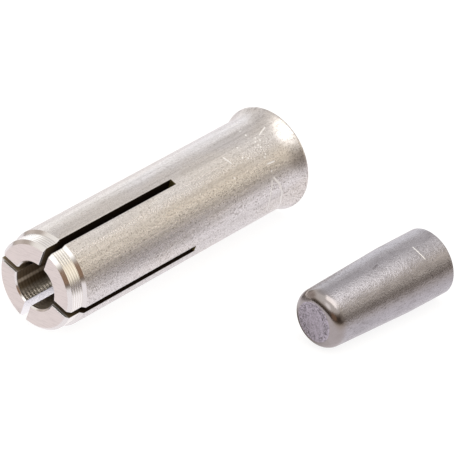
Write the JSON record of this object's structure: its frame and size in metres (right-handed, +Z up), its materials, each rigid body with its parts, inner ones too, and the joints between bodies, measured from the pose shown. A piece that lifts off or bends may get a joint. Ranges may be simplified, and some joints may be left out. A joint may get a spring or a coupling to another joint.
{
  "type": "drop-in expansion anchor",
  "caption": "Turned steel expansion sleeve with a slotted, stepped nose, a tapped bore and a flared lip, lying beside the tapered plug that is driven in to spread it.",
  "frame": {"origin": "on the floor, under the middle of the box round both pieces as they lie", "axes": "+X along the sleeve from its slotted nose to its flared mouth, +Z up, the plug on the -Y side"},
  "size_m": [0.0402, 0.0384, 0.0129],
  "materials": {
    "sleeve_steel": "bright zinc on turned steel, satin with fine dark grain",
    "plug_steel": "darker turned steel, satin with fine grain"
  },
  "bodies": {
    "root": {"expansion_sleeve": "sleeve_steel", "expander_plug": "plug_steel"}
  },
  "joints": []
}
